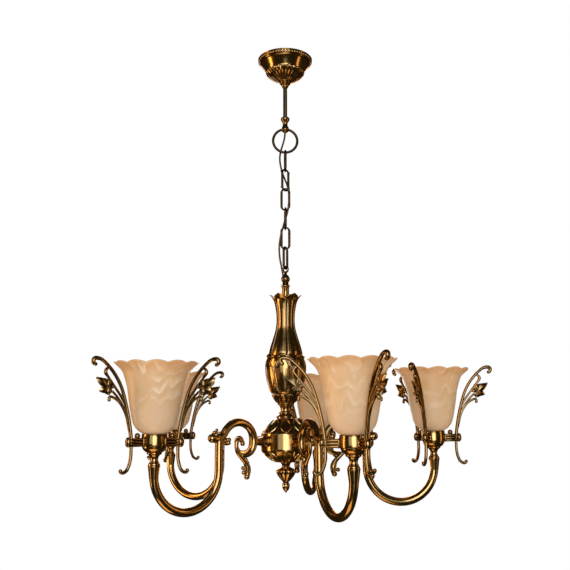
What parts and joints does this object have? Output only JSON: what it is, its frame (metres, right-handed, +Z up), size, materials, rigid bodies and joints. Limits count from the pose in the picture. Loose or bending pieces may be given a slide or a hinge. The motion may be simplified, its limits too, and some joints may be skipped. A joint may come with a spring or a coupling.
{
  "type": "multi arm chandelier",
  "caption": "Brass chandelier on a chain: scrolled arms round a turned column carry glass tulip shades in cups with leafy brackets; canopy, flex and bulbs included.",
  "frame": {"origin": "on the column's axis at the ceiling, midway between the strap's two screw holes", "axes": "+Z up into the ceiling, +X along the first arm and the strap"},
  "size_m": [0.6664, 0.7006, 0.8183],
  "materials": {
    "antique_brass": "polished antique brass, dark in the hollows",
    "amber_glass": "satin tea-coloured alabaster glass with pale veins",
    "bulb_glass": "opal candle bulb",
    "holder": "cream thermoplastic",
    "terminal": "white thermoplastic",
    "flex": "gold-brown clear-sheathed flex",
    "plain_steel": "zinc-plated"
  },
  "bodies": {
    "ceiling_mount": {"ceiling_strap": "plain_steel", "rod_nuts": "plain_steel", "terminal_block": "terminal", "hang_rod": "antique_brass", "rod_knob": "antique_brass", "flex": "flex"},
    "canopy": {"canopy": "antique_brass", "canopy_collar": "antique_brass", "collar_screw": "antique_brass"},
    "hanging_ring": {"hanging_ring": "antique_brass"},
    "chain_link_1": {"chain_link_1": "antique_brass"},
    "chain_link_2": {"chain_link_2": "antique_brass"},
    "chain_link_3": {"chain_link_3": "antique_brass"},
    "chain_link_4": {"chain_link_4": "antique_brass"},
    "chain_link_5": {"chain_link_5": "antique_brass"},
    "chain_link_6": {"chain_link_6": "antique_brass"},
    "fixture": {"top_eye": "antique_brass", "stem_tube": "antique_brass", "tie_rod": "plain_steel", "vase": "antique_brass", "belly": "antique_brass", "leaf_cup": "antique_brass", "neck": "antique_brass", "hub_top": "antique_brass", "hub_band": "antique_brass", "hub_bottom": "antique_brass", "finial": "antique_brass", "arm_nuts": "plain_steel", "bracket_screws": "antique_brass", "shade_rings": "plain_steel", "arm_1": "antique_brass", "lamp_cup_1": "antique_brass", "brackets_1": "antique_brass", "glass_shade_1": "amber_glass", "lamp_holder_1": "holder", "arm_2": "antique_brass", "lamp_cup_2": "antique_brass", "brackets_2": "antique_brass", "glass_shade_2": "amber_glass", "lamp_holder_2": "holder", "arm_3": "antique_brass", "lamp_cup_3": "antique_brass", "brackets_3": "antique_brass", "glass_shade_3": "amber_glass", "lamp_holder_3": "holder", "arm_4": "antique_brass", "lamp_cup_4": "antique_brass", "brackets_4": "antique_brass", "glass_shade_4": "amber_glass", "lamp_holder_4": "holder", "arm_5": "antique_brass", "lamp_cup_5": "antique_brass", "brackets_5": "antique_brass", "glass_shade_5": "amber_glass", "lamp_holder_5": "holder"},
    "bulb_1": {"bulb_1": "bulb_glass"},
    "bulb_2": {"bulb_2": "bulb_glass"},
    "bulb_3": {"bulb_3": "bulb_glass"},
    "bulb_4": {"bulb_4": "bulb_glass"},
    "bulb_5": {"bulb_5": "bulb_glass"}
  },
  "joints": [
    {"name": "canopy_slide", "type": "slide", "parent": "ceiling_mount", "child": "canopy", "axis": [0, 0, -1], "range_m": [0, 0.055]},
    {"name": "ring_swing", "type": "hinge", "parent": "ceiling_mount", "child": "hanging_ring", "pos_m": [0, 0, -0.1385], "axis": [1, 0, 0], "range_deg": [-8, 8], "deforming": ["flex"]},
    {"name": "link_1_swing", "type": "hinge", "parent": "hanging_ring", "child": "chain_link_1", "pos_m": [0, 0, -0.1841], "axis": [1, 0, 0], "range_deg": [-8, 8], "deforming": ["flex"]},
    {"name": "link_2_swing", "type": "hinge", "parent": "chain_link_1", "child": "chain_link_2", "pos_m": [0, 0, -0.2202], "axis": [0, 1, 0], "range_deg": [-8, 8], "deforming": ["flex"]},
    {"name": "link_3_swing", "type": "hinge", "parent": "chain_link_2", "child": "chain_link_3", "pos_m": [0, 0, -0.2567], "axis": [0.8192, 0.5736, 0], "range_deg": [-8, 8], "deforming": ["flex"]},
    {"name": "link_4_swing", "type": "hinge", "parent": "chain_link_3", "child": "chain_link_4", "pos_m": [0, 0, -0.2932], "axis": [0.9659, -0.2588, 0], "range_deg": [-8, 8], "deforming": ["flex"]},
    {"name": "link_5_swing", "type": "hinge", "parent": "chain_link_4", "child": "chain_link_5", "pos_m": [0, 0, -0.3297], "axis": [0, 1, 0], "range_deg": [-8, 8], "deforming": ["flex"]},
    {"name": "link_6_swing", "type": "hinge", "parent": "chain_link_5", "child": "chain_link_6", "pos_m": [0, 0, -0.3662], "axis": [1, 0, 0], "range_deg": [-8, 8], "deforming": ["flex"]},
    {"name": "fixture_swing", "type": "hinge", "parent": "chain_link_6", "child": "fixture", "pos_m": [0, 0, -0.4027], "axis": [0.5, 0.866, 0], "range_deg": [-8, 8], "deforming": ["flex"]},
    {"name": "bulb_1_turn", "type": "hinge", "parent": "fixture", "child": "bulb_1", "pos_m": [0.2603, 0, -0.662], "axis": [0, 0, 1], "continuous": true},
    {"name": "bulb_2_turn", "type": "hinge", "parent": "fixture", "child": "bulb_2", "pos_m": [0.08044, 0.24756, -0.662], "axis": [0, 0, 1], "continuous": true},
    {"name": "bulb_3_turn", "type": "hinge", "parent": "fixture", "child": "bulb_3", "pos_m": [-0.21059, 0.153, -0.662], "axis": [0, 0, 1], "continuous": true},
    {"name": "bulb_4_turn", "type": "hinge", "parent": "fixture", "child": "bulb_4", "pos_m": [-0.21059, -0.153, -0.662], "axis": [0, 0, 1], "continuous": true},
    {"name": "bulb_5_turn", "type": "hinge", "parent": "fixture", "child": "bulb_5", "pos_m": [0.08044, -0.24756, -0.662], "axis": [0, 0, 1], "continuous": true}
  ]
}
